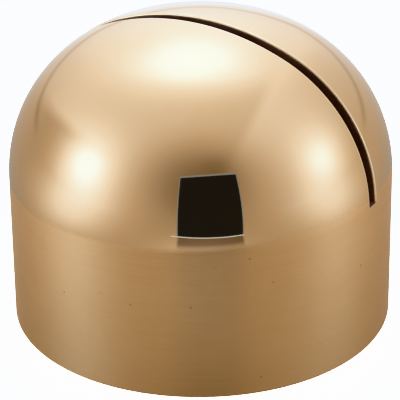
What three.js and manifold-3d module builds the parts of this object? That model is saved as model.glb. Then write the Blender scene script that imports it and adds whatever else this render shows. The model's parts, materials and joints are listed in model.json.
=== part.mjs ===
// A domed brass door stop with one slot sawn across its dome.
//
// Units are millimetres, +Z is up, and the origin is on the floor under the centre of the stop.
// The slot runs along X, right through the dome. From the outside in, the stop is:
//   body                 turned brass shell: cylinder, torispherical dome, slot, cavity from below
//   weight_pad           cork disc that keeps the weight from rattling against the brass
//   weight               cast iron slug that fills the cavity
//   weight_bolt          M5 socket screw that draws the weight up against its pad,
//                        with bolt_washer and bolt_spring_washer under its head
//   base_plate           steel disc that closes the cavity, held by base_screw_1 to base_screw_3
//   foot_pad             rubber disc with grip rings, let into the underside, on which it all stands
import * as THREE from "three";
import * as BufferGeometryUtils from "three/addons/utils/BufferGeometryUtils.js";
import Module from "manifold-3d";

// Outside of the body
const BODY_RADIUS = 25;
const CYLINDER_HEIGHT = 20;
const SHOULDER_RADIUS = 19.6;
const CROWN_RADIUS = 33.5;
const BASE_EDGE_CHAMFER = 0.4;

// Slot across the dome
const SLOT_WIDTH = 1.6;
const SLOT_FLOOR_ABOVE_SHOULDER = 0.5;

// Foot and base plate
const FOOT_PROUD = 0.8;
const FOOT_RADIUS = 21.3;
const FOOT_THICKNESS = 1.6;
const FOOT_LAND_RADIUS = 5;
const GRIP_GROOVE_DEPTH = 0.5;
const GRIP_GROOVE_WIDTH = 1;
const GRIP_GROOVE_PITCH = 2.5;
const GRIP_GROOVE_COUNT = 6;
const PLATE_RADIUS = 21.3;
const PLATE_THICKNESS = 1.5;

// Cavity and weight
const SEAT_RADIUS = 21.6;
const CAVITY_RADIUS = 19;
const CAVITY_TOP = 13;
const WEIGHT_RADIUS = 18.7;
const WEIGHT_PAD_THICKNESS = 0.8;
const WEIGHT_PLATE_GAP = 0.2;
const WEIGHT_SHOULDER_THICKNESS = 3;
const WEIGHT_COUNTERBORE_RADIUS = 5.6;
const CAST_EDGE_CHAMFER = 0.8;

// M5 low-head socket screw and its washers
const BOLT_RADIUS = 2.5;
const BOLT_LENGTH = 12;
const BOLT_HEAD_RADIUS = 4.25;
const BOLT_HEAD_HEIGHT = 3.5;
const BOLT_SOCKET_ACROSS_FLATS = 3;
const BOLT_SOCKET_DEPTH = 2;
const BOLT_TIP_CHAMFER = 0.4;
const BOLT_CLEARANCE = 0.25;
const TAPPED_HOLE_GAP = 0.1;
const TAPPED_HOLE_RUNOUT = 0.5;
const WASHER_RADIUS = 5;
const WASHER_THICKNESS = 1;
const SPRING_WASHER_RADIUS = 4.6;
const SPRING_WASHER_THICKNESS = 1.2;
const SPRING_WASHER_SPLIT = 0.6;

// M2.5 countersunk screws of the base plate
const SCREW_COUNT = 3;
const SCREW_CIRCLE_RADIUS = 12;
const SCREW_RADIUS = 1.25;
const SCREW_HEAD_RADIUS = 2.3;
const SCREW_HEAD_HEIGHT = 1.3;
const SCREW_LENGTH = 6;
const SCREW_SLOT_WIDTH = 0.6;
const SCREW_SLOT_DEPTH = 0.6;
const COUNTERSINK_GAP = 0.1;

// How far a cutter reaches past the face that it starts from
const CUT_OVERRUN = 1;

// Points of a geometry closer than this are one point
const MERGE_DISTANCE = 1e-5;

// Facets
const BODY_SEGMENTS = 72;
const DISC_SEGMENTS = 48;
const FASTENER_SEGMENTS = 24;
const SHOULDER_STEPS = 10;
const CROWN_STEPS = 5;

// Heights above the floor
const BODY_BOTTOM = FOOT_PROUD;
const SHOULDER_BOTTOM = BODY_BOTTOM + CYLINDER_HEIGHT;
const SLOT_FLOOR = SHOULDER_BOTTOM + SLOT_FLOOR_ABOVE_SHOULDER;
const PLATE_BOTTOM = FOOT_THICKNESS;
const PLATE_TOP = PLATE_BOTTOM + PLATE_THICKNESS;
const WEIGHT_TOP = CAVITY_TOP - WEIGHT_PAD_THICKNESS;
const WEIGHT_BOTTOM = PLATE_TOP + WEIGHT_PLATE_GAP;
const WASHER_TOP = WEIGHT_TOP - WEIGHT_SHOULDER_THICKNESS;
const SPRING_WASHER_TOP = WASHER_TOP - WASHER_THICKNESS;
const BOLT_HEAD_TOP = SPRING_WASHER_TOP - SPRING_WASHER_THICKNESS;
const BOLT_TIP = BOLT_HEAD_TOP + BOLT_LENGTH;

const BRASS = { color: 0xc79a5b, roughness: 0.22, metalness: 1 };
const CAST_IRON = { color: 0x3b3b3d, roughness: 0.75, metalness: 0.8 };
const CORK = { color: 0xa9825a, roughness: 0.95, metalness: 0 };
const ZINC_STEEL = { color: 0xb4b7ba, roughness: 0.4, metalness: 1 };
const RUBBER = { color: 0x1c1c1d, roughness: 0.85, metalness: 0 };

const wasm = await Module();
wasm.setup();

// A closed three.js geometry as a manifold solid.
function toSolid(geometry) {
  const bare = geometry.index ? geometry.toNonIndexed() : geometry.clone();
  bare.deleteAttribute("normal");
  bare.deleteAttribute("uv");
  const merged = BufferGeometryUtils.mergeVertices(bare, MERGE_DISTANCE);
  return new wasm.Manifold(new wasm.Mesh({
    numProp: 3,
    vertProperties: merged.attributes.position.array,
    triVerts: new Uint32Array(merged.index.array),
  }));
}

// A manifold solid as a three.js geometry.
function toGeometry(solid) {
  const mesh = solid.getMesh();
  const geometry = new THREE.BufferGeometry();
  geometry.setAttribute("position", new THREE.BufferAttribute(mesh.vertProperties, 3));
  geometry.setIndex(new THREE.BufferAttribute(mesh.triVerts, 1));
  return geometry;
}

function makePart(name, geometry, finish) {
  const mesh = new THREE.Mesh(geometry, new THREE.MeshStandardMaterial(finish));
  mesh.name = name;
  return mesh;
}

// A solid of revolution about Z from [radius, height] points that go up the outside.
function turned(points, segments) {
  const profile = points.map(([radius, height]) => new THREE.Vector2(radius, height));
  const geometry = new THREE.LatheGeometry(profile, segments);
  geometry.rotateX(Math.PI / 2);
  return geometry;
}

function disc(radius, bottom, top, segments) {
  return turned([[0, bottom], [radius, bottom], [radius, top], [0, top]], segments);
}

function box(sizeX, sizeY, bottom, top) {
  const geometry = new THREE.BoxGeometry(sizeX, sizeY, top - bottom);
  geometry.translate(0, 0, (bottom + top) / 2);
  return geometry;
}

// A hexagonal prism about Z.
function hexagon(acrossFlats, bottom, top) {
  return disc(acrossFlats / Math.sqrt(3), bottom, top, 6);
}

// Places of the base plate's screws.
function screwPlaces() {
  const places = [];
  for (let i = 0; i < SCREW_COUNT; i += 1) {
    const angle = Math.PI / 2 + (2 * Math.PI * i) / SCREW_COUNT;
    places.push([SCREW_CIRCLE_RADIUS * Math.cos(angle), SCREW_CIRCLE_RADIUS * Math.sin(angle)]);
  }
  return places;
}

// Dome profile: a shoulder arc that leaves the cylinder wall tangentially, then a flatter crown arc.
function domeProfile() {
  const shoulderCentre = BODY_RADIUS - SHOULDER_RADIUS;
  const centreDistance = CROWN_RADIUS - SHOULDER_RADIUS;
  const crownCentre = SHOULDER_BOTTOM - Math.sqrt(centreDistance ** 2 - shoulderCentre ** 2);
  const crownHalfAngle = Math.asin(shoulderCentre / centreDistance);
  const points = [];
  for (let i = 0; i <= SHOULDER_STEPS; i += 1) {
    const angle = ((Math.PI / 2 - crownHalfAngle) * i) / SHOULDER_STEPS;
    points.push([
      shoulderCentre + SHOULDER_RADIUS * Math.cos(angle),
      SHOULDER_BOTTOM + SHOULDER_RADIUS * Math.sin(angle),
    ]);
  }
  for (let i = 1; i < CROWN_STEPS; i += 1) {
    const angle = crownHalfAngle * (1 - i / CROWN_STEPS);
    points.push([CROWN_RADIUS * Math.sin(angle), crownCentre + CROWN_RADIUS * Math.cos(angle)]);
  }
  points.push([0, crownCentre + CROWN_RADIUS]);
  return points;
}

// Brass body: dome and cylinder, bored from below for the weight and the base, slotted from above.
function makeBody() {
  const tappedRadius = BOLT_RADIUS + TAPPED_HOLE_GAP;
  const tappedTop = BOLT_TIP + TAPPED_HOLE_RUNOUT;
  const shell = toSolid(turned([
    [0, tappedTop],
    [tappedRadius, tappedTop],
    [tappedRadius, CAVITY_TOP],
    [CAVITY_RADIUS, CAVITY_TOP],
    [CAVITY_RADIUS, PLATE_TOP],
    [SEAT_RADIUS, PLATE_TOP],
    [SEAT_RADIUS, BODY_BOTTOM],
    [BODY_RADIUS - BASE_EDGE_CHAMFER, BODY_BOTTOM],
    [BODY_RADIUS, BODY_BOTTOM + BASE_EDGE_CHAMFER],
    ...domeProfile(),
  ], BODY_SEGMENTS));
  const slotLength = 2 * (BODY_RADIUS + CUT_OVERRUN);
  const slotTop = SLOT_FLOOR + CROWN_RADIUS;
  const slot = toSolid(box(slotLength, SLOT_WIDTH, SLOT_FLOOR, slotTop));
  return makePart("body", toGeometry(shell.subtract(slot)), BRASS);
}

function makeWeightPad() {
  const holeRadius = BOLT_RADIUS + BOLT_CLEARANCE;
  return makePart("weight_pad", turned([
    [holeRadius, WEIGHT_TOP],
    [WEIGHT_RADIUS, WEIGHT_TOP],
    [WEIGHT_RADIUS, CAVITY_TOP],
    [holeRadius, CAVITY_TOP],
    [holeRadius, WEIGHT_TOP],
  ], DISC_SEGMENTS), CORK);
}

// Cast iron slug, counterbored for the bolt head and drilled for the base plate's screws.
function makeWeight() {
  const holeRadius = BOLT_RADIUS + BOLT_CLEARANCE;
  let solid = toSolid(turned([
    [holeRadius, WASHER_TOP],
    [WEIGHT_COUNTERBORE_RADIUS, WASHER_TOP],
    [WEIGHT_COUNTERBORE_RADIUS, WEIGHT_BOTTOM],
    [WEIGHT_RADIUS - CAST_EDGE_CHAMFER, WEIGHT_BOTTOM],
    [WEIGHT_RADIUS, WEIGHT_BOTTOM + CAST_EDGE_CHAMFER],
    [WEIGHT_RADIUS, WEIGHT_TOP - CAST_EDGE_CHAMFER],
    [WEIGHT_RADIUS - CAST_EDGE_CHAMFER, WEIGHT_TOP],
    [holeRadius, WEIGHT_TOP],
    [holeRadius, WASHER_TOP],
  ], DISC_SEGMENTS));
  const holeBottom = WEIGHT_BOTTOM - CUT_OVERRUN;
  const holeTop = PLATE_BOTTOM + SCREW_LENGTH + TAPPED_HOLE_RUNOUT;
  for (const [x, y] of screwPlaces()) {
    const hole = disc(SCREW_RADIUS + TAPPED_HOLE_GAP, holeBottom, holeTop, FASTENER_SEGMENTS);
    hole.translate(x, y, 0);
    solid = solid.subtract(toSolid(hole));
  }
  return makePart("weight", toGeometry(solid), CAST_IRON);
}

// M5 socket screw, head down.
function makeWeightBolt() {
  const headBottom = BOLT_HEAD_TOP - BOLT_HEAD_HEIGHT;
  const blank = toSolid(turned([
    [0, headBottom],
    [BOLT_HEAD_RADIUS, headBottom],
    [BOLT_HEAD_RADIUS, BOLT_HEAD_TOP],
    [BOLT_RADIUS, BOLT_HEAD_TOP],
    [BOLT_RADIUS, BOLT_TIP - BOLT_TIP_CHAMFER],
    [BOLT_RADIUS - BOLT_TIP_CHAMFER, BOLT_TIP],
    [0, BOLT_TIP],
  ], FASTENER_SEGMENTS));
  const socketTop = headBottom + BOLT_SOCKET_DEPTH;
  const socket = toSolid(hexagon(BOLT_SOCKET_ACROSS_FLATS, headBottom - CUT_OVERRUN, socketTop));
  return makePart("weight_bolt", toGeometry(blank.subtract(socket)), ZINC_STEEL);
}

// A flat ring round the bolt.
function washerGeometry(radius, bottom, top) {
  const holeRadius = BOLT_RADIUS + BOLT_CLEARANCE;
  return turned([
    [holeRadius, bottom],
    [radius, bottom],
    [radius, top],
    [holeRadius, top],
    [holeRadius, bottom],
  ], FASTENER_SEGMENTS);
}

function makeBoltWasher() {
  return makePart("bolt_washer", washerGeometry(WASHER_RADIUS, SPRING_WASHER_TOP, WASHER_TOP), ZINC_STEEL);
}

// Split spring washer, closed flat as it is when tightened.
function makeBoltSpringWasher() {
  const ring = toSolid(washerGeometry(SPRING_WASHER_RADIUS, BOLT_HEAD_TOP, SPRING_WASHER_TOP));
  const splitBottom = BOLT_HEAD_TOP - CUT_OVERRUN;
  const splitTop = SPRING_WASHER_TOP + CUT_OVERRUN;
  const split = box(SPRING_WASHER_RADIUS, SPRING_WASHER_SPLIT, splitBottom, splitTop);
  split.translate(-SPRING_WASHER_RADIUS, 0, 0);
  return makePart("bolt_spring_washer", toGeometry(ring.subtract(toSolid(split))), ZINC_STEEL);
}

// Steel disc with countersunk holes for its screws.
function makeBasePlate() {
  let solid = toSolid(disc(PLATE_RADIUS, PLATE_BOTTOM, PLATE_TOP, DISC_SEGMENTS));
  const countersinkTop = PLATE_BOTTOM + SCREW_HEAD_HEIGHT;
  for (const [x, y] of screwPlaces()) {
    const hole = turned([
      [0, PLATE_BOTTOM - CUT_OVERRUN],
      [SCREW_HEAD_RADIUS + COUNTERSINK_GAP, PLATE_BOTTOM - CUT_OVERRUN],
      [SCREW_HEAD_RADIUS + COUNTERSINK_GAP, PLATE_BOTTOM],
      [SCREW_RADIUS + COUNTERSINK_GAP, countersinkTop],
      [SCREW_RADIUS + COUNTERSINK_GAP, PLATE_TOP + CUT_OVERRUN],
      [0, PLATE_TOP + CUT_OVERRUN],
    ], FASTENER_SEGMENTS);
    hole.translate(x, y, 0);
    solid = solid.subtract(toSolid(hole));
  }
  return makePart("base_plate", toGeometry(solid), ZINC_STEEL);
}

// Countersunk slotted screws, head down and flush with the plate.
function makeBaseScrews() {
  const headTop = PLATE_BOTTOM + SCREW_HEAD_HEIGHT;
  const tip = PLATE_BOTTOM + SCREW_LENGTH;
  const blank = toSolid(turned([
    [0, PLATE_BOTTOM],
    [SCREW_HEAD_RADIUS, PLATE_BOTTOM],
    [SCREW_RADIUS, headTop],
    [SCREW_RADIUS, tip],
    [0, tip],
  ], FASTENER_SEGMENTS));
  const slotLength = 2 * (SCREW_HEAD_RADIUS + CUT_OVERRUN);
  const slotBottom = PLATE_BOTTOM - CUT_OVERRUN;
  const slotTop = PLATE_BOTTOM + SCREW_SLOT_DEPTH;
  const slot = toSolid(box(slotLength, SCREW_SLOT_WIDTH, slotBottom, slotTop));
  const screw = toGeometry(blank.subtract(slot));
  return screwPlaces().map(([x, y], i) => {
    const mesh = makePart(`base_screw_${i + 1}`, screw.clone(), ZINC_STEEL);
    mesh.position.set(x, y, 0);
    return mesh;
  });
}

// Rubber foot: a disc with concentric grip grooves round a flat centre.
function makeFootPad() {
  const points = [[0, 0], [FOOT_LAND_RADIUS, 0]];
  for (let i = 0; i < GRIP_GROOVE_COUNT; i += 1) {
    const inner = FOOT_LAND_RADIUS + i * GRIP_GROOVE_PITCH;
    const outer = inner + GRIP_GROOVE_WIDTH;
    if (i > 0) points.push([inner, 0]);
    points.push([inner, GRIP_GROOVE_DEPTH], [outer, GRIP_GROOVE_DEPTH], [outer, 0]);
  }
  points.push([FOOT_RADIUS, 0], [FOOT_RADIUS, FOOT_THICKNESS], [0, FOOT_THICKNESS]);
  return makePart("foot_pad", turned(points, DISC_SEGMENTS), RUBBER);
}

const group = new THREE.Group();
group.add(makeBody());
group.add(makeWeightPad());
group.add(makeWeight());
group.add(makeWeightBolt());
group.add(makeBoltWasher());
group.add(makeBoltSpringWasher());
group.add(makeBasePlate());
group.add(...makeBaseScrews());
group.add(makeFootPad());

export default group;
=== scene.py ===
import json
import math

import bpy
from mathutils import Matrix, Vector


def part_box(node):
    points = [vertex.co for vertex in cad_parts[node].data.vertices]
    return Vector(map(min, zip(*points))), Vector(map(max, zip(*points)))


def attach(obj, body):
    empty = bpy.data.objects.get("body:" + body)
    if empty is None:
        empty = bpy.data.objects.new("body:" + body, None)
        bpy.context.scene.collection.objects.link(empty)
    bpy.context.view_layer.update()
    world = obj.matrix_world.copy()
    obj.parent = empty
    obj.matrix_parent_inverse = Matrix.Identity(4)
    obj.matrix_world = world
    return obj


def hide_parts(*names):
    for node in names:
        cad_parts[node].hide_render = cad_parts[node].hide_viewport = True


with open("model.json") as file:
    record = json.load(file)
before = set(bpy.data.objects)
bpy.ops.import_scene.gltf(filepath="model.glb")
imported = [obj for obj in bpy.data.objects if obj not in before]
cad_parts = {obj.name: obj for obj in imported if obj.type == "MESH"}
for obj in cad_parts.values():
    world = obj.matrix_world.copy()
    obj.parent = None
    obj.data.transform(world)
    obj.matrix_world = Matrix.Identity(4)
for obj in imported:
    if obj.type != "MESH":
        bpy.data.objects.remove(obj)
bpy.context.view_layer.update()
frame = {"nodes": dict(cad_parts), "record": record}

MM = 0.001

# Sizes taken from the frame
BODY_LOW, BODY_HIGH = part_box("body")
BODY_RADIUS = (BODY_HIGH.x - BODY_LOW.x) / 2
BODY_BOTTOM = BODY_LOW.z
SLOT_FLOOR = next(m["pos_m"][2] for m in frame["record"]["mounts"] if m["name"] == "slot_floor")
SLOT_HALF_WIDTH = min(
    abs(v.co.y) for v in frame["nodes"]["body"].data.vertices if v.co.z > SLOT_FLOOR + MM
)

# Dome profile: a shoulder arc tangent to the cylinder wall, then a flatter crown arc
CYLINDER_HEIGHT = 20 * MM
SHOULDER_RADIUS = 19.6 * MM
CROWN_RADIUS = 33.5 * MM
SHOULDER_BOTTOM = BODY_BOTTOM + CYLINDER_HEIGHT
SHOULDER_CENTRE = BODY_RADIUS - SHOULDER_RADIUS
CROWN_HALF_ANGLE = math.asin(SHOULDER_CENTRE / (CROWN_RADIUS - SHOULDER_RADIUS))
CROWN_CENTRE = SHOULDER_BOTTOM - SHOULDER_CENTRE / math.tan(CROWN_HALF_ANGLE)

# Fine edges
LIP_ROUND = 0.22 * MM
LIP_RIM = 0.14 * MM
BASE_ROUND = 0.4 * MM
INSIDE_CHAMFER = 0.2 * MM

# Underside of the body, bored for the plate, the weight and its bolt
PLATE_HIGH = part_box("base_plate")[1]
PAD_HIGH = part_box("weight_pad")[1]
BOLT_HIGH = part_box("weight_bolt")[1]
BORE_CLEARANCE = 0.3 * MM
SEAT_RADIUS = PLATE_HIGH.x + BORE_CLEARANCE
CAVITY_RADIUS = PAD_HIGH.x + BORE_CLEARANCE
TAPPED_RADIUS = 2.6 * MM
TAPPED_CLEARANCE = 0.5 * MM
TAPPED_TOP = BOLT_HIGH.z + TAPPED_CLEARANCE

# Rubber foot and the grip rings cut into its underside
FOOT_LOW, FOOT_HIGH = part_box("foot_pad")
FOOT_RADIUS = FOOT_HIGH.x
FOOT_ROUND = 0.12 * MM
GRIP_COUNT = 6
GRIP_FIRST = 5.0 * MM
GRIP_PITCH = 2.5 * MM
GRIP_WIDTH = 1.0 * MM
GRIP_DEPTH = 0.5 * MM

# Mesh density
DOME_SIDE_STEPS = 160
CROWN_STEPS = 44
SHOULDER_STEPS = 76
LIP_STEPS = 5
SLOT_END_STEPS = 4
BASE_ROUND_STEPS = 5
FOOT_SIDE_STEPS = 180
FOOT_ROUND_STEPS = 3

# Material slots of the body
OUTSIDE, SLOT, UNDERSIDE, LIP = range(4)

# Where the mirror polish of the dome gives way to the satin of the wall, and how much
# higher that is on one side of the body than in the middle
POLISH_EDGE = SHOULDER_BOTTOM + 1.0 * MM
POLISH_TILT = 0.85 * MM
POLISH_BLEND = 0.55 * MM

# Camera, in body radii and degrees
CAMERA_AZIMUTH = 30.2
CAMERA_ELEVATION = 25.5
CAMERA_DISTANCE = 12.0
CAMERA_ORBIT_HEIGHT = 0.9
CAMERA_AIM_HEIGHT = 0.607
CAMERA_AIM_SIDE = -0.0052
CAMERA_ROLL = -0.72
CAMERA_LENS = 207.5
SENSOR_WIDTH = 36.0
CAMERA_NEAR = 10 * MM
CAMERA_FAR = 10_000 * MM


class MeshBuilder:
    """Collects vertices and faces with exact corner normals."""

    def __init__(self):
        self.points = []
        self.faces = []
        self.normals = []
        self.materials = []

    def point(self, co):
        self.points.append(Vector(co))
        return len(self.points) - 1

    def face(self, corners, normals, material=0):
        """A face with one normal per corner; it is turned over if it faces the other way."""
        loop = [self.points[i] for i in corners]
        facing = Vector((0, 0, 0))
        for a, b in zip(loop, loop[1:] + loop[:1]):
            facing += a.cross(b)
        if facing.dot(sum(normals, Vector((0, 0, 0)))) < 0:
            corners = corners[::-1]
            normals = normals[::-1]
        self.faces.append(corners)
        self.normals.extend(n.normalized() for n in normals)
        self.materials.append(material)

    def strip(self, row_a, row_b, normals_a, normals_b, material=0, closed=False):
        """Quads between two rows of the same length."""
        count = len(row_a)
        for i in range(count if closed else count - 1):
            j = (i + 1) % count
            self.face(
                [row_a[i], row_a[j], row_b[j], row_b[i]],
                [normals_a[i], normals_a[j], normals_b[j], normals_b[i]],
                material,
            )

    def rings(self, row, row_normals, angles, profile):
        """Closed rings that follow a first row down a profile, and a flat face in the last one.
        The profile's stations are (radius, height, normal before, normal after, material)."""
        for radius, height, before, after, material in profile:
            below = [self.point(polar(radius, a, height)) for a in angles]
            below_normals = [polar(before[0], a, before[1]) for a in angles]
            self.strip(row, below, row_normals, below_normals, material, closed=True)
            row = below
            row_normals = [polar(after[0], a, after[1]) for a in angles]
        self.face(row, row_normals, material)

    def build(self, name, materials):
        mesh = bpy.data.meshes.new(name)
        mesh.from_pydata([p[:] for p in self.points], [], self.faces)
        for material in materials:
            mesh.materials.append(material)
        mesh.polygons.foreach_set("material_index", self.materials)
        mesh.polygons.foreach_set("use_smooth", [True] * len(self.faces))
        mesh.normals_split_custom_set([n[:] for n in self.normals])
        mesh.update()
        obj = bpy.data.objects.new(name, mesh)
        bpy.context.scene.collection.objects.link(obj)
        return obj


def polar(radius, angle, z):
    return Vector((radius * math.cos(angle), radius * math.sin(angle), z))


def dome_stations(first_radius):
    """(radius, height, outward normal's radial part, its upward part) down the dome's profile,
    from first_radius near the top to the level of the slot's floor."""
    stations = []
    crown_edge = CROWN_RADIUS * math.sin(CROWN_HALF_ANGLE)
    reach = math.sqrt(crown_edge**2 - first_radius**2)
    for i in range(CROWN_STEPS):
        radius = math.hypot(first_radius, reach * i / CROWN_STEPS)
        slope = math.asin(radius / CROWN_RADIUS)
        height = CROWN_CENTRE + CROWN_RADIUS * math.cos(slope)
        stations.append((radius, height, math.sin(slope), math.cos(slope)))
    top_angle = math.pi / 2 - CROWN_HALF_ANGLE
    end_angle = math.asin((SLOT_FLOOR - SHOULDER_BOTTOM) / SHOULDER_RADIUS)
    for i in range(SHOULDER_STEPS + 1):
        angle = top_angle + (end_angle - top_angle) * i / SHOULDER_STEPS
        radius = SHOULDER_CENTRE + SHOULDER_RADIUS * math.cos(angle)
        height = SHOULDER_BOTTOM + SHOULDER_RADIUS * math.sin(angle)
        stations.append((radius, height, math.cos(angle), math.sin(angle)))
    return stations


def build_dome_side(mesh, side, stations, lip_y):
    """One half of the dome, on the +Y or -Y side of the slot, with its rounded lip and slot wall.
    Returns the last row of the outside, and of the lip's two ends, at the slot's floor."""
    apex_radius, apex_height, apex_out, apex_up = stations[0]
    turn = 0.0 if side > 0 else math.pi
    apex = mesh.point(polar(apex_radius, turn + math.pi / 2, apex_height))
    apex_normal = polar(apex_out, turn + math.pi / 2, apex_up)

    rows = []
    row_normals = []
    for radius, height, out, up in stations[1:]:
        start = math.asin(min(1.0, lip_y / radius))
        span = math.pi - 2 * start
        rim = min(LIP_RIM / radius, span / 3)
        inner = [rim + (span - 2 * rim) * j / DOME_SIDE_STEPS for j in range(DOME_SIDE_STEPS + 1)]
        row = []
        normals = []
        for step in [0.0] + inner + [span]:
            angle = turn + start + step
            row.append(mesh.point(polar(radius, angle, height)))
            normals.append(polar(out, angle, up))
        rows.append(row)
        row_normals.append(normals)
    for j in range(len(rows[0]) - 1):
        mesh.face(
            [apex, rows[0][j], rows[0][j + 1]],
            [apex_normal, row_normals[0][j], row_normals[0][j + 1]],
            LIP,
        )
    for upper, lower, n_upper, n_lower in zip(rows, rows[1:], row_normals, row_normals[1:]):
        for part, material in ((slice(0, 2), LIP), (slice(1, -1), OUTSIDE), (slice(-2, None), LIP)):
            mesh.strip(upper[part], lower[part], n_upper[part], n_lower[part], material)

    # The lip runs from one end of the slot over the top to the other
    lip = [row[0] for row in reversed(rows)] + [apex] + [row[-1] for row in rows]
    lip_normals = [n[0] for n in reversed(row_normals)] + [apex_normal] + [n[-1] for n in row_normals]
    wall_normal = Vector((0, -side, 0))
    wall_y = side * SLOT_HALF_WIDTH
    previous, previous_normals = lip, lip_normals
    lip_ends = [[lip[0]], [lip[-1]]]
    for k in range(1, LIP_STEPS + 1):
        row = []
        normals = []
        for index, normal in zip(lip, lip_normals):
            turned = normal.slerp(wall_normal, k / LIP_STEPS)
            place = mesh.points[index] + LIP_ROUND * (turned - normal)
            if k == LIP_STEPS:
                place.y = wall_y
            row.append(mesh.point(place))
            normals.append(turned)
        for end in (0, -1):
            mesh.points[row[end]].z = SLOT_FLOOR
        mesh.strip(previous, row, previous_normals, normals, LIP)
        previous, previous_normals = row, normals
        lip_ends[0].append(row[0])
        lip_ends[1].append(row[-1])
    mesh.face(previous, [wall_normal] * len(previous), SLOT)
    return rows[-1], lip_ends


def build_body():
    """Brass body: slotted dome, cylinder, rounded foot and the bored underside."""
    mesh = MeshBuilder()
    lip_y = SLOT_HALF_WIDTH + LIP_ROUND
    stations = dome_stations(lip_y)
    front, front_ends = build_dome_side(mesh, 1, stations, lip_y)
    back, back_ends = build_dome_side(mesh, -1, stations, lip_y)

    # Ring at the slot's floor: each side's outside, joined across the slot's two open ends
    end_radius = stations[-1][0]

    def across(start, end):
        low = math.atan2(mesh.points[start].y, mesh.points[start].x) % math.tau
        high = math.atan2(mesh.points[end].y, mesh.points[end].x) % math.tau
        if high < low:
            high += math.tau
        steps = [low + (high - low) * i / SLOT_END_STEPS for i in range(1, SLOT_END_STEPS)]
        return [mesh.point(polar(end_radius, angle, SLOT_FLOOR)) for angle in steps]

    left = across(front[-1], back[0])
    right = across(back[-1], front[0])
    ring = front + left + back + right

    # Slot floor: round its outline, along one wall, across one end, and back along the other
    floor_loop = (
        front_ends[0][::-1] + right[::-1] + back_ends[1]
        + back_ends[0][::-1] + left[::-1] + front_ends[1]
    )
    mesh.face(floor_loop, [Vector((0, 0, 1))] * len(floor_loop), SLOT)

    # From there down, every ring has the same angles
    angles = [math.atan2(mesh.points[i].y, mesh.points[i].x) for i in ring]
    out = (1, 0)
    end_out, end_up = stations[-1][2:]
    profile = [
        (BODY_RADIUS, SHOULDER_BOTTOM, out, out, OUTSIDE),
        (BODY_RADIUS, BODY_BOTTOM + BASE_ROUND, out, out, OUTSIDE),
    ]
    for i in range(1, BASE_ROUND_STEPS + 1):
        angle = math.pi / 2 * i / BASE_ROUND_STEPS
        normal = (math.cos(angle), -math.sin(angle))
        profile.append((
            BODY_RADIUS - BASE_ROUND * (1 - normal[0]),
            BODY_BOTTOM + BASE_ROUND * (1 + normal[1]),
            normal,
            normal,
            OUTSIDE,
        ))
    slant = (-math.sqrt(0.5), -math.sqrt(0.5))
    down = (0, -1)
    inward = (-1, 0)
    profile += [
        (SEAT_RADIUS + INSIDE_CHAMFER, BODY_BOTTOM, down, slant, UNDERSIDE),
        (SEAT_RADIUS, BODY_BOTTOM + INSIDE_CHAMFER, slant, inward, UNDERSIDE),
        (SEAT_RADIUS, PLATE_HIGH.z, inward, down, UNDERSIDE),
        (CAVITY_RADIUS, PLATE_HIGH.z, down, inward, UNDERSIDE),
        (CAVITY_RADIUS, PAD_HIGH.z, inward, down, UNDERSIDE),
        (TAPPED_RADIUS, PAD_HIGH.z, down, inward, UNDERSIDE),
        (TAPPED_RADIUS, TAPPED_TOP, inward, down, UNDERSIDE),
    ]
    mesh.rings(ring, [polar(end_out, a, end_up) for a in angles], angles, profile)
    return mesh.build("body_fine", [brass_outside(), brass_slot(), brass_turned(), brass_lip()])


def rounded_chain(corners, radius):
    """Profile stations along straight walls joined at right angles, the joints rounded.
    The outward side is on the left of a wall that is walked down."""
    stations = []
    for (r0, z0), (r1, z1), (r2, z2) in zip(corners, corners[1:], corners[2:]):
        into = Vector((r1 - r0, z1 - z0)).normalized()
        away = Vector((r2 - r1, z2 - z1)).normalized()
        turn = math.copysign(math.pi / 2, into.x * away.y - into.y * away.x)
        first = math.atan2(into.x, -into.y)
        start = Vector((r1, z1)) - into * radius
        centre = start + Vector((math.cos(first), math.sin(first))) * math.copysign(radius, turn)
        for i in range(FOOT_ROUND_STEPS + 1):
            angle = first + turn * i / FOOT_ROUND_STEPS
            normal = Vector((math.cos(angle), math.sin(angle)))
            place = centre - normal * math.copysign(radius, turn)
            stations.append((place.x, place.y, normal, normal, 0))
    return stations


def build_foot_pad():
    """Rubber foot: a disc with rounded edges and rounded grip rings on its underside."""
    mesh = MeshBuilder()
    corners = [(FOOT_RADIUS, FOOT_HIGH.z), (FOOT_RADIUS, FOOT_LOW.z)]
    for i in reversed(range(GRIP_COUNT)):
        inner = GRIP_FIRST + i * GRIP_PITCH
        outer = inner + GRIP_WIDTH
        roof = FOOT_LOW.z + GRIP_DEPTH
        corners += [(outer, FOOT_LOW.z), (outer, roof), (inner, roof), (inner, FOOT_LOW.z)]
    corners = [(0.0, FOOT_HIGH.z)] + corners + [(0.0, FOOT_LOW.z)]
    stations = rounded_chain(corners, FOOT_ROUND)
    angles = [math.tau * j / FOOT_SIDE_STEPS for j in range(FOOT_SIDE_STEPS)]
    radius, height = stations[0][:2]
    top = [mesh.point(polar(radius, a, height)) for a in angles]
    up = [Vector((0, 0, 1))] * len(top)
    mesh.face(top, up)
    mesh.rings(top, up, angles, stations[1:])
    return mesh.build("foot_pad_fine", [black_rubber()])


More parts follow.
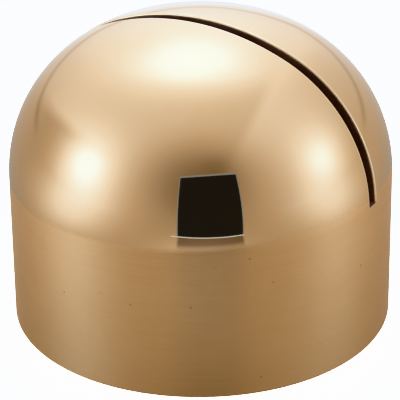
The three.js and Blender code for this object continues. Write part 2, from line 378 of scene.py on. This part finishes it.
class Nodes:
    """Short calls for building a node tree."""

    def __init__(self, tree):
        self.tree = tree
        tree.nodes.clear()

    def add(self, kind, inputs=(), **settings):
        node = self.tree.nodes.new("ShaderNode" + kind)
        for key, value in settings.items():
            setattr(node, key, value)
        for key, value in dict(inputs).items():
            socket = node.inputs[key]
            if isinstance(value, bpy.types.NodeSocket):
                self.tree.links.new(value, socket)
            else:
                socket.default_value = value
        return node

    def math(self, operation, a, b=0.0, clamp=False):
        return self.add("Math", {0: a, 1: b}, operation=operation, use_clamp=clamp).outputs[0]

    def ramp(self, value, low, high, to_low=0.0, to_high=1.0, smooth=True):
        kind = "SMOOTHSTEP" if smooth else "LINEAR"
        inputs = {"Value": value, "From Min": low, "From Max": high, "To Min": to_low, "To Max": to_high}
        return self.add("MapRange", inputs, interpolation_type=kind, clamp=True).outputs[0]

    def mix(self, factor, a, b):
        node = self.add("Mix", data_type="RGBA")
        for socket, value in ((node.inputs[0], factor), (node.inputs[6], a), (node.inputs[7], b)):
            if isinstance(value, bpy.types.NodeSocket):
                self.tree.links.new(value, socket)
            else:
                socket.default_value = value
        return node.outputs[2]

    def noise(self, vector, scale, detail=3.0, roughness=0.5):
        inputs = {"Vector": vector, "Scale": scale, "Detail": detail, "Roughness": roughness}
        return self.add("TexNoise", inputs).outputs[0]

    def stretched(self, vector, scale):
        return self.add("VectorMath", {0: vector, 1: scale}, operation="MULTIPLY").outputs[0]


def new_material(name):
    material = bpy.data.materials.new(name)
    material.use_nodes = True
    return material, Nodes(material.node_tree)


def finish_material(nodes, inputs):
    shader = nodes.add("BsdfPrincipled", inputs)
    nodes.add("OutputMaterial", {"Surface": shader.outputs[0]})


def grain(n, place, across, along, detail=3.0):
    """Noise drawn out level: its scale is across in X and Y, and along in Z."""
    return n.noise(n.stretched(place, (across, across, along)), 1.0, detail, 0.6)


def pits(n, place, scale, share, size):
    """1 in a few small round pits, 0 elsewhere. Share is how many of the cells have one."""
    cells = n.add("TexVoronoi", {"Vector": place, "Scale": scale, "Randomness": 1.0})
    chosen = n.add("TexWhiteNoise", {"Vector": cells.outputs["Position"]}).outputs[0]
    near = n.ramp(cells.outputs["Distance"], size / 3, size, 1.0, 0.0)
    return n.math("MULTIPLY", near, n.ramp(chosen, 1 - share, 1 - share / 2))


BUMP_DEPTH = 0.02 * MM


def bump(n, height, strength):
    inputs = {"Height": height, "Strength": strength, "Distance": BUMP_DEPTH}
    return n.add("Bump", inputs).outputs[0]


# Colours of the brass: polished dome, satin wall, lip (paler, a painted highlight), slot (dark brown
# painted shade) and turned bores
BRASS = (0.97, 0.685, 0.425, 1.0)
BRASS_WARM = (0.96, 0.665, 0.400, 1.0)
BRASS_SATIN = (1.0, 0.672, 0.385, 1.0)
BRASS_SATIN_DULL = (0.96, 0.640, 0.360, 1.0)
BRASS_PIT = (0.22, 0.10, 0.05, 1.0)
# Paler lip colours: a painted highlight along the slot's edges
BRASS_LIP_PAINTED_HIGHLIGHT = (1.0, 0.78, 0.54, 1.0)
BRASS_LIP_PAINTED_HIGHLIGHT_DULL = (1.0, 0.73, 0.47, 1.0)
# Dark brown painted shade inside the slot
BRASS_SLOT_PAINTED_SHADE = (0.30, 0.21, 0.18, 1.0)
BRASS_SLOT_PAINTED_SHADE_PALE = (0.43, 0.31, 0.27, 1.0)
BRASS_TURNED = (0.88, 0.62, 0.36, 1.0)
BRASS_TURNED_DULL = (0.74, 0.50, 0.28, 1.0)

# Patterns: scales are in cells per metre, and pit sizes are shares of a cell
POLISH_PIT_SCALE = 420.0
POLISH_PIT_SHARE = 0.03
POLISH_PIT_SIZE = 0.08
POLISH_PIT_TINT = 0.4
POLISH_PIT_ROUGHNESS = 0.2
POLISH_PIT_BUMP = 0.2
POLISH_TONE_SCALE = 90.0
POLISH_HAZE_SCALE = 260.0
POLISH_ROUGHNESS = (0.03, 0.05)
SATIN_LINE_SCALES = (700.0, 9000.0)
SATIN_STREAK_SCALES = (110.0, 2600.0)
SATIN_CLOUD_SCALE = 170.0
SATIN_STREAK_SHARE = 0.6
SATIN_CLOUD_SHARE = 0.4
SATIN_PIT_SCALE = 520.0
SATIN_PIT_SHARE = 0.22
SATIN_PIT_SIZE = 0.11
SATIN_PIT_TINT = 0.32
SATIN_ROUGHNESS = 0.43
SATIN_ROUGHNESS_CHANGE = 0.10
SATIN_LINE_RELIEF = 0.6
SATIN_BUMP = 0.3
SATIN_ANISOTROPY = 0.8
SATIN_TURN = 0.25
LIP_NICK_SCALE = 900.0
LIP_ROUGHNESS = (0.28, 0.42)
LIP_BUMP = 0.15
SAW_MARK_SCALES = (900.0, 3000.0)
# Patch scale and metallic of the slot's painted shade
SLOT_SHADE_SCALE = 220.0
SLOT_SHADE_METALLIC = 0.35
SLOT_ROUGHNESS = (0.4, 0.6)
SLOT_BUMP = 0.3
# Depth below the crown where the slot's painted shade begins to fade towards bare brass, and where it is
# gone
SHADE_FADE_DEPTH = 0.4 * MM
SHADE_GONE_DEPTH = 0.2 * MM
TURNED_RING_SCALE = 5200.0
TURNED_CLOUD_SCALE = 160.0
TURNED_ROUGHNESS = (0.24, 0.42)
TURNED_BUMP = 0.4
# Values of a noise pattern between which most of it lies
NOISE_LOW = 0.3
NOISE_HIGH = 0.7


def satin_share(n, place):
    """1 on the satin wall and 0 on the polished dome. The edge between them is slightly askew."""
    height = n.add("SeparateXYZ", {0: place}).outputs[2]
    askew = (direction(90, 0) * (POLISH_TILT / BODY_RADIUS))[:]
    lift = n.add("VectorMath", {0: place, 1: askew}, operation="DOT_PRODUCT").outputs["Value"]
    level = n.math("SUBTRACT", height, lift)
    return n.ramp(level, POLISH_EDGE - POLISH_BLEND, POLISH_EDGE + POLISH_BLEND, 1.0, 0.0)


def polished_shader(n, place):
    """Mirror-polished brass, with a faint haze and a few small pits."""
    pit = pits(n, place, POLISH_PIT_SCALE, POLISH_PIT_SHARE, POLISH_PIT_SIZE)
    cloud = n.noise(place, POLISH_TONE_SCALE, 4.0)
    tone = n.mix(n.ramp(cloud, 0.35, NOISE_HIGH), BRASS, BRASS_WARM)
    haze = n.ramp(n.noise(place, POLISH_HAZE_SCALE, 5.0), NOISE_LOW, 0.8, *POLISH_ROUGHNESS)
    return n.add("BsdfPrincipled", {
        "Base Color": n.mix(n.math("MULTIPLY", pit, POLISH_PIT_TINT), tone, BRASS_PIT),
        "Metallic": 1.0,
        "Roughness": n.math("ADD", haze, n.math("MULTIPLY", pit, POLISH_PIT_ROUGHNESS)),
        "Normal": bump(n, n.math("MULTIPLY", pit, -1.0), POLISH_PIT_BUMP),
    }).outputs[0]


def satin_shader(n, place):
    """Brass lined round the axis by turning, with cloudy streaks and small pits."""
    fine = grain(n, place, *SATIN_LINE_SCALES)
    streaks = n.math("MULTIPLY", grain(n, place, *SATIN_STREAK_SCALES), SATIN_STREAK_SHARE)
    cloud = n.math("MULTIPLY", n.noise(place, SATIN_CLOUD_SCALE, 4.0), SATIN_CLOUD_SHARE)
    worn = n.ramp(n.math("ADD", streaks, cloud), NOISE_LOW, 0.72, smooth=False)
    tone = n.mix(worn, BRASS_SATIN, BRASS_SATIN_DULL)
    pit = pits(n, place, SATIN_PIT_SCALE, SATIN_PIT_SHARE, SATIN_PIT_SIZE)
    lines = n.ramp(fine, 0.25, 0.75, -0.5, 0.5, smooth=False)
    change = n.math("MULTIPLY", lines, SATIN_ROUGHNESS_CHANGE)
    relief = n.math("SUBTRACT", n.math("MULTIPLY", lines, SATIN_LINE_RELIEF), pit)
    return n.add("BsdfPrincipled", {
        "Base Color": n.mix(n.math("MULTIPLY", pit, SATIN_PIT_TINT), tone, BRASS_PIT),
        "Metallic": 1.0,
        "Roughness": n.math("ADD", SATIN_ROUGHNESS, change),
        "Normal": bump(n, relief, SATIN_BUMP),
        "Anisotropic": SATIN_ANISOTROPY,
        "Anisotropic Rotation": SATIN_TURN,
        "Tangent": n.add("Tangent", direction_type="RADIAL", axis="Z").outputs[0],
    }).outputs[0]


def brass_outside():
    """Brass seen from outside: mirror polish on the dome, satin on the wall."""
    material, n = new_material("brass_outside")
    place = n.add("TexCoord").outputs["Object"]
    shaders = {0: satin_share(n, place), 1: polished_shader(n, place), 2: satin_shader(n, place)}
    mixed = n.add("MixShader", shaders)
    n.add("OutputMaterial", {"Surface": mixed.outputs[0]})
    return material


def brass_lip():
    """Thin edge of the slot, paler than the dome as a painted highlight, with small nicks."""
    material, n = new_material("brass_lip")
    place = n.add("TexCoord").outputs["Object"]
    nicks = n.noise(place, LIP_NICK_SCALE)
    # The paler brass along the lip is a painted highlight; the nicks vary it
    colour = n.mix(n.ramp(nicks, 0.35, NOISE_HIGH), BRASS_LIP_PAINTED_HIGHLIGHT, BRASS_LIP_PAINTED_HIGHLIGHT_DULL)
    finish_material(n, {
        "Base Color": colour,
        "Metallic": 1.0,
        "Roughness": n.ramp(nicks, NOISE_LOW, NOISE_HIGH, *LIP_ROUGHNESS),
        "Normal": bump(n, nicks, LIP_BUMP),
    })
    return material


def brass_slot():
    """Dark brown painted shade in the sawn slot, with fine saw marks, fading to bare brass near the
    crown.
    """
    material, n = new_material("brass_slot")
    place = n.add("TexCoord").outputs["Object"]
    marks = grain(n, place, *SAW_MARK_SCALES)
    # The dark brown is painted shade deep in the slot
    shade_patches = n.ramp(n.noise(place, SLOT_SHADE_SCALE, 4.0), NOISE_LOW, NOISE_HIGH)
    from_centre = n.add("VectorMath", {0: place, 1: (0, 0, CROWN_CENTRE)}, operation="DISTANCE")
    depth = n.math("SUBTRACT", CROWN_RADIUS, from_centre.outputs["Value"])
    # The painted shade fades out near the crown, where the slot wall is bare brass
    worn = n.ramp(depth, SHADE_FADE_DEPTH, SHADE_GONE_DEPTH)
    colour = n.mix(worn, n.mix(shade_patches, BRASS_SLOT_PAINTED_SHADE, BRASS_SLOT_PAINTED_SHADE_PALE), BRASS_SATIN)
    finish_material(n, {
        "Base Color": colour,
        "Metallic": n.ramp(worn, 0.0, 1.0, SLOT_SHADE_METALLIC, 1.0),
        "Roughness": n.ramp(marks, NOISE_LOW, NOISE_HIGH, *SLOT_ROUGHNESS),
        "Normal": bump(n, marks, SLOT_BUMP),
    })
    return material


def turning(n, place, scale):
    """Noise in rings round the axis."""
    x, y, z = n.add("SeparateXYZ", {0: place}).outputs
    radius = n.math("SQRT", n.math("ADD", n.math("MULTIPLY", x, x), n.math("MULTIPLY", y, y)))
    where = n.add("CombineXYZ", {0: radius, 2: z}).outputs[0]
    return n.noise(where, scale, 3.0, 0.6)


def brass_turned():
    """Turned brass of the bores on the underside, with rings left by the tool."""
    material, n = new_material("brass_turned")
    place = n.add("TexCoord").outputs["Object"]
    rings = turning(n, place, TURNED_RING_SCALE)
    cloud = n.ramp(n.noise(place, TURNED_CLOUD_SCALE, 4.0), NOISE_LOW, NOISE_HIGH)
    finish_material(n, {
        "Base Color": n.mix(cloud, BRASS_TURNED, BRASS_TURNED_DULL),
        "Metallic": 1.0,
        "Roughness": n.ramp(rings, NOISE_LOW, NOISE_HIGH, *TURNED_ROUGHNESS),
        "Normal": bump(n, rings, TURNED_BUMP),
    })
    return material


RUBBER = (0.018, 0.018, 0.019, 1.0)
RUBBER_WORN = (0.038, 0.037, 0.036, 1.0)
RUBBER_GRAIN_SCALE = 2600.0
RUBBER_CLOUD_SCALE = 140.0
RUBBER_ROUGHNESS = (0.55, 0.75)
RUBBER_BUMP = 0.25


def black_rubber():
    """Moulded black rubber, faintly mottled and grained."""
    material, n = new_material("black_rubber")
    place = n.add("TexCoord").outputs["Object"]
    grains = n.noise(place, RUBBER_GRAIN_SCALE)
    cloud = n.ramp(n.noise(place, RUBBER_CLOUD_SCALE, 4.0), 0.35, NOISE_HIGH)
    finish_material(n, {
        "Base Color": n.mix(cloud, RUBBER, RUBBER_WORN),
        "Roughness": n.ramp(grains, NOISE_LOW, NOISE_HIGH, *RUBBER_ROUGHNESS),
        "Normal": bump(n, grains, RUBBER_BUMP),
    })
    return material


CORK_DARK = (0.22, 0.10, 0.04, 1.0)
CORK_BROWN = (0.44, 0.25, 0.12, 1.0)
CORK_PALE = (0.62, 0.42, 0.23, 1.0)
CORK_GRANULE_SCALE = 900.0
CORK_SEAM = (0.45, 0.75)
CORK_ROUGHNESS = (0.75, 0.92)
CORK_BUMP = 0.5


def cork():
    """Agglomerated cork: pressed granules, each of its own brown, with dark seams."""
    material, n = new_material("cork")
    place = n.add("TexCoord").outputs["Object"]
    cells = n.add("TexVoronoi", {"Vector": place, "Scale": CORK_GRANULE_SCALE})
    chosen = n.add("TexWhiteNoise", {"Vector": cells.outputs["Position"]}).outputs[0]
    granule = n.mix(chosen, CORK_BROWN, CORK_PALE)
    seam = n.ramp(cells.outputs["Distance"], *CORK_SEAM)
    finish_material(n, {
        "Base Color": n.mix(seam, granule, CORK_DARK),
        "Roughness": n.ramp(chosen, 0.0, 1.0, *CORK_ROUGHNESS),
        "Normal": bump(n, n.math("MULTIPLY", seam, -1.0), CORK_BUMP),
    })
    return material


IRON = (0.075, 0.072, 0.070, 1.0)
IRON_RUST = (0.130, 0.075, 0.045, 1.0)
IRON_SKIN_SCALE = 1500.0
IRON_RUST_SCALE = 190.0
IRON_RUST_PATCHES = (0.52, 0.72)
IRON_METALLIC = (0.8, 0.3)
IRON_ROUGHNESS = (0.55, 0.8)
IRON_BUMP = 0.6


def cast_iron():
    """Sand-cast iron: dark, coarse skin with a breath of rust."""
    material, n = new_material("cast_iron")
    place = n.add("TexCoord").outputs["Object"]
    skin = n.noise(place, IRON_SKIN_SCALE, 5.0, 0.65)
    rust = n.ramp(n.noise(place, IRON_RUST_SCALE, 5.0), *IRON_RUST_PATCHES)
    finish_material(n, {
        "Base Color": n.mix(rust, IRON, IRON_RUST),
        "Metallic": n.ramp(rust, 0.0, 1.0, *IRON_METALLIC),
        "Roughness": n.ramp(skin, NOISE_LOW, NOISE_HIGH, *IRON_ROUGHNESS),
        "Normal": bump(n, skin, IRON_BUMP),
    })
    return material


ZINC = (0.62, 0.64, 0.66, 1.0)
ZINC_BLUE = (0.52, 0.57, 0.64, 1.0)
ZINC_RING_SCALE = 4200.0
ZINC_BLOOM_SCALE = 240.0
ZINC_ROUGHNESS = (0.26, 0.40)
ZINC_BUMP = 0.25


def zinc_plated_steel():
    """Zinc-plated steel with a faint blue passivation, turned in rings."""
    material, n = new_material("zinc_plated_steel")
    place = n.add("TexCoord").outputs["Object"]
    rings = turning(n, place, ZINC_RING_SCALE)
    bloom = n.ramp(n.noise(place, ZINC_BLOOM_SCALE, 4.0), 0.35, NOISE_HIGH)
    finish_material(n, {
        "Base Color": n.mix(bloom, ZINC, ZINC_BLUE),
        "Metallic": 1.0,
        "Roughness": n.ramp(rings, NOISE_LOW, NOISE_HIGH, *ZINC_ROUGHNESS),
        "Normal": bump(n, rings, ZINC_BUMP),
    })
    return material


def dress_hidden_parts():
    """Materials for the parts inside the body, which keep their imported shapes."""
    steel = zinc_plated_steel()
    dress = {"weight_pad": cork(), "weight": cast_iron()}
    for name, node in frame["nodes"].items():
        if name not in ("body", "foot_pad"):
            for material_slot in node.material_slots:
                material_slot.material = dress.get(name, steel)


def direction(azimuth, elevation):
    """Unit vector towards a place in the studio; azimuth 0 is the camera's side, + to its right."""
    a = math.radians(CAMERA_AZIMUTH + azimuth)
    e = math.radians(elevation)
    return Vector((math.sin(a) * math.cos(e), -math.cos(a) * math.cos(e), math.sin(e)))


# The studio is a tent of white cloth, lit through the cloth by three lamps. Strengths are in
# stops, which double the brightness, against a plain stretch of cloth.
CLOTH_LEVEL = 0.42
CLOTH_RISE = 0.6
# Lamps: (azimuth, elevation, spread in degrees, stops). Each has a core half as wide.
LAMPS = {
    "left lamp": (-76, 19, 23, 1.1),
    "right lamp": (82, 18, 21, 0.8),
    "top lamp": (184, 57, 24, 1.1),
}
CORE_SPREAD = 0.5
CORE_STOPS = 0.8
# What else is lighter or darker: (azimuth, elevation, spread in degrees, stops)
CLOTH_AREAS = {
    "front wall": (0, 28, 30, -1.2),
    "above the opening": (12, 38, 9, -0.25),
    "back wall": (180, 18, 28, 1.0),
    "floor by the left lamp": (-74, -10, 24, 0.9),
    "floor by the right lamp": (74, -10, 22, 0.8),
    "floor at the back": (180, -25, 18, 2.0),
    "floor in front": (0, -34, 20, 0.9),
}
# The light is cooler where a lamp shines through
COOL_LIGHT = (0.7, 1.0, 1.4, 1.0)
COOL_START = 0.0
COOL_FULL = 2.0
WHITE = (1.0, 1.0, 1.0, 1.0)
# Folds of the cloth: two places on each, as for a lamp, the reach in degrees from its middle,
# and how many stops lighter the cloth is below it
FOLDS = {
    "left fold": ((-140, 5), (-90, 30), 28, -0.6),
    "roof seam": ((30, 48), (145, 47), 40, 0.3),
}
FOLD_WIDTH = 8
# Seam where the back wall meets the floor
SEAM_HEIGHT = 3
SEAM_WIDTH = 2
SEAM_STOPS = -0.3
# The seam fades in between these shares of the way round to the back
SEAM_FADE = (0.5, 0.7)
# Brightness of what stands behind the body, as the camera sees it
BACKDROP = 3.0


def bell(n, way, toward, spread, strength):
    """Strength that falls off smoothly with the angle from one direction."""
    dot = n.add("VectorMath", {0: way, 1: toward[:]}, operation="DOT_PRODUCT").outputs["Value"]
    angle = n.math("ARCCOSINE", n.math("MAXIMUM", n.math("MINIMUM", dot, 1.0), -1.0))
    ratio = n.math("DIVIDE", angle, math.radians(spread))
    fall = n.math("EXPONENT", n.math("MULTIPLY", n.math("MULTIPLY", ratio, ratio), -1.0))
    return n.math("MULTIPLY", fall, strength)


def fold_light(n, way, start, end, reach, strength):
    """Stops of one fold: half its strength is added below it and half is taken off above it."""
    start, end = direction(*start), direction(*end)
    across = start.cross(end).normalized()
    if across.z < 0:
        across = -across
    side = n.add("VectorMath", {0: way, 1: across[:]}, operation="DOT_PRODUCT").outputs["Value"]
    half = math.radians(FOLD_WIDTH) / 2
    step = n.ramp(side, -half, half, strength / 2, -strength / 2)
    return n.math("MULTIPLY", step, bell(n, way, (start + end).normalized(), reach, 1.0))


def seam_light(n, way, up):
    """Stops of the dark seam, which runs along the back half of the tent."""
    lift = n.math("SUBTRACT", up, math.sin(math.radians(SEAM_HEIGHT)))
    ratio = n.math("DIVIDE", lift, math.radians(SEAM_WIDTH))
    line = n.math("EXPONENT", n.math("MULTIPLY", n.math("MULTIPLY", ratio, ratio), -1.0))
    back = direction(180, 0)[:]
    behind = n.add("VectorMath", {0: way, 1: back}, operation="DOT_PRODUCT").outputs["Value"]
    return n.math("MULTIPLY", n.math("MULTIPLY", line, n.ramp(behind, *SEAM_FADE)), SEAM_STOPS)


def tent_light(n, way):
    """Brightness and colour of the light tent in the direction way."""
    up = n.add("SeparateXYZ", {0: way}).outputs[2]
    stops = n.math("MULTIPLY", up, CLOTH_RISE)
    for azimuth, elevation, spread, strength in LAMPS.values():
        toward = direction(azimuth, elevation)
        core = bell(n, way, toward, spread * CORE_SPREAD, strength * CORE_STOPS)
        stops = n.math("ADD", stops, bell(n, way, toward, spread, strength))
        stops = n.math("ADD", stops, core)
    for azimuth, elevation, spread, strength in CLOTH_AREAS.values():
        area = bell(n, way, direction(azimuth, elevation), spread, strength)
        stops = n.math("ADD", stops, area)
    for fold in FOLDS.values():
        stops = n.math("ADD", stops, fold_light(n, way, *fold))
    stops = n.math("ADD", stops, seam_light(n, way, up))
    colour = n.mix(n.ramp(stops, COOL_START, COOL_FULL, smooth=False), WHITE, COOL_LIGHT)
    return n.math("MULTIPLY", n.math("POWER", 2.0, stops), CLOTH_LEVEL), colour


def build_world():
    world = bpy.data.worlds.new("light_tent")
    bpy.context.scene.world = world
    world.use_nodes = True
    n = Nodes(world.node_tree)
    way = n.add("TexCoord").outputs["Generated"]
    light, colour = tent_light(n, way)
    seen = n.add("LightPath").outputs["Is Camera Ray"]
    strength = n.math("ADD", light, n.math("MULTIPLY", seen, n.math("SUBTRACT", BACKDROP, light)))
    colour = n.mix(seen, colour, WHITE)
    background = n.add("Background", {"Color": colour, "Strength": strength})
    n.add("OutputWorld", {"Surface": background.outputs[0]})


FLOOR_SIZE = 3.0
FLOOR_GLOW = 3.0
FLOOR_WHITE = (0.92, 0.92, 0.92, 1.0)
# The floor mirrored in the wall is taken to be seen from this height on the wall
FLOOR_VIEW_HEIGHT = 22 * MM
CONTACT_SHADE = 0.97
CONTACT_REACH = 60 * MM
# Dark opening in the tent's front, which the camera looks through. It is a little nearer at its
# right edge. Azimuths are in degrees.
OPENING_LEFT = -12
OPENING_LEFT_DISTANCE = 130 * MM
OPENING_RIGHT = 21
OPENING_RIGHT_DISTANCE = 120 * MM
OPENING_HEIGHT = 97 * MM
# Pale hem round the opening, which is seen past its edges, and the bright sill along its foot
HEM_MARGIN = 0.6
HEM_HEIGHT = 4 * MM
HEM_BEHIND = 1 * MM
SILL_MARGIN = 3.5
SILL_HEIGHT = 1.3 * MM
OPENING_COLOUR = (0.050, 0.066, 0.098, 1.0)
HEM_COLOUR = (0.25, 0.33, 0.45, 1.0)
SILL_COLOUR = (0.55, 0.72, 0.98, 1.0)
# The floor in front of the opening gets less light, and that light is cooler
OPENING_SHADE = 0.49
OPENING_SHADE_START = 68 * MM
OPENING_SHADE_FULL = 96 * MM
OPENING_SHADE_SOFT = 1.0
OPENING_SHADE_TINT = (0.98, 1.0, 1.10, 1.0)


def build_plane(name, corners):
    mesh = bpy.data.meshes.new(name)
    mesh.from_pydata([c[:] for c in corners], [], [range(len(corners))])
    obj = bpy.data.objects.new(name, mesh)
    bpy.context.scene.collection.objects.link(obj)
    return obj


def build_floor():
    """Pale floor. What is mirrored in the brass is painted light: the floor glows with the tent's light
    as if its lamps lit it, with painted shade darker close to the body, which keeps the light off it."""
    h = FLOOR_SIZE / 2
    floor = build_plane("floor", [Vector((x, y, 0)) for x, y in ((-h, -h), (h, -h), (h, h), (-h, h))])
    material, n = new_material("pale_floor")
    shade = n.add("BsdfDiffuse", {"Color": FLOOR_WHITE})
    glow = n.add("Emission", {"Color": WHITE, "Strength": FLOOR_GLOW})
    seen = n.add("AddShader", {0: shade.outputs[0], 1: glow.outputs[0]})

    place = n.add("TexCoord").outputs["Object"]
    distance = n.add("VectorMath", {0: place}, operation="LENGTH").outputs["Value"]
    outward = n.add("VectorMath", {0: place}, operation="NORMALIZE").outputs[0]
    gap = n.math("MAXIMUM", n.math("SUBTRACT", distance, BODY_RADIUS), 0.0)
    level = n.add("VectorMath", {0: outward, "Scale": gap}, operation="SCALE").outputs[0]
    lowered = n.add("VectorMath", {0: level, 1: (0, 0, -FLOOR_VIEW_HEIGHT)}, operation="ADD").outputs[0]
    way = n.add("VectorMath", {0: lowered}, operation="NORMALIZE").outputs[0]
    contact = n.ramp(distance, BODY_RADIUS, CONTACT_REACH, CONTACT_SHADE, 1.0)
    light, colour = tent_light(n, way)
    shaded = opening_shade(n, place)
    dimmed = n.math("SUBTRACT", 1.0, n.math("MULTIPLY", shaded, 1 - OPENING_SHADE))
    strength = n.math("MULTIPLY", n.math("MULTIPLY", light, contact), dimmed)
    colour = n.mix(shaded, colour, OPENING_SHADE_TINT)
    # Painted light for reflections only: the floor glows, with painted shade near the body and in front
    # of the opening
    mirrored = n.add("Emission", {"Color": colour, "Strength": strength})
    path = n.add("LightPath").outputs["Is Camera Ray"]
    both = n.add("MixShader", {0: path, 1: mirrored.outputs[0], 2: seen.outputs[0]})
    n.add("OutputMaterial", {"Surface": both.outputs[0]})
    floor.data.materials.append(material)


def opening_shade(n, place):
    """1 on the dim part of the floor, between the opening and the body, and 0 elsewhere."""
    def along(axis):
        return n.add("VectorMath", {0: place, 1: axis[:]}, operation="DOT_PRODUCT").outputs["Value"]

    ahead = along(direction(0, 0))
    slope = n.math("DIVIDE", along(direction(90, 0)), n.math("MAXIMUM", ahead, MM))
    left = math.tan(math.radians(OPENING_LEFT))
    right = math.tan(math.radians(OPENING_RIGHT))
    soft = math.tan(math.radians(OPENING_SHADE_SOFT))
    inside = n.math(
        "MULTIPLY",
        n.ramp(slope, left - soft, left + soft),
        n.ramp(slope, right - soft, right + soft, 1.0, 0.0),
    )
    near = n.ramp(ahead, OPENING_SHADE_START, OPENING_SHADE_FULL)
    return n.math("MULTIPLY", inside, near)


def opening_card(name, left, right, low, high, behind, colour):
    """Upright glowing card across the opening, seen only as a reflection. It stands behind the
    opening by the given distance, and left and right are its edges' azimuths."""
    places = []
    for azimuth, distance in ((left, OPENING_LEFT_DISTANCE), (right, OPENING_RIGHT_DISTANCE)):
        ahead = distance + behind
        aside = ahead * math.tan(math.radians(azimuth))
        foot = direction(0, 0) * ahead + direction(90, 0) * aside
        edge = [foot + Vector((0, 0, low)), foot + Vector((0, 0, high))]
        places += edge if azimuth == left else edge[::-1]
    card = build_plane(name, places)
    material, n = new_material(name)
    shade = n.add("Emission", {"Color": colour, "Strength": 1.0})
    n.add("OutputMaterial", {"Surface": shade.outputs[0]})
    card.data.materials.append(material)
    card.visible_camera = False
    card.visible_diffuse = False
    card.visible_shadow = False


def build_opening():
    """Opening of the tent with its pale hem and the bright sill in front of it."""
    left, right = OPENING_LEFT, OPENING_RIGHT
    opening_card("tent_opening", left, right, SILL_HEIGHT, OPENING_HEIGHT, 0.0, OPENING_COLOUR)
    hem_top = OPENING_HEIGHT + HEM_HEIGHT
    hem = (left - HEM_MARGIN, right + HEM_MARGIN, 0.0, hem_top, HEM_BEHIND)
    opening_card("tent_hem", *hem, HEM_COLOUR)
    sill = (left - SILL_MARGIN, right + HEM_MARGIN, 0.0, SILL_HEIGHT, -HEM_BEHIND)
    opening_card("tent_sill", *sill, SILL_COLOUR)


def build_camera():
    data = bpy.data.cameras.new("camera")
    camera = bpy.data.objects.new("camera", data)
    bpy.context.scene.collection.objects.link(camera)
    base = Vector((0, 0, BODY_BOTTOM))
    side = direction(90, 0) * CAMERA_AIM_SIDE * BODY_RADIUS
    orbit = base + Vector((0, 0, CAMERA_ORBIT_HEIGHT * BODY_RADIUS))
    aim = base + side + Vector((0, 0, CAMERA_AIM_HEIGHT * BODY_RADIUS))
    camera.location = side + orbit + direction(0, CAMERA_ELEVATION) * CAMERA_DISTANCE * BODY_RADIUS
    look = (aim - camera.location).to_track_quat("-Z", "Y").to_matrix().to_4x4()
    roll = Matrix.Rotation(math.radians(CAMERA_ROLL), 4, "Z")
    camera.matrix_world = Matrix.Translation(camera.location) @ look @ roll
    data.sensor_width = SENSOR_WIDTH
    data.lens = CAMERA_LENS
    data.clip_start = CAMERA_NEAR
    data.clip_end = CAMERA_FAR
    bpy.context.scene.camera = camera


def main():
    build_camera()
    build_world()
    build_floor()
    build_opening()
    body = build_body()
    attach(body, "root")
    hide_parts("body")
    foot_pad = build_foot_pad()
    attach(foot_pad, "root")
    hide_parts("foot_pad")
    dress_hidden_parts()
    view = bpy.context.scene.view_settings
    view.view_transform = "Khronos PBR Neutral"
    view.look = "High Contrast"


main()
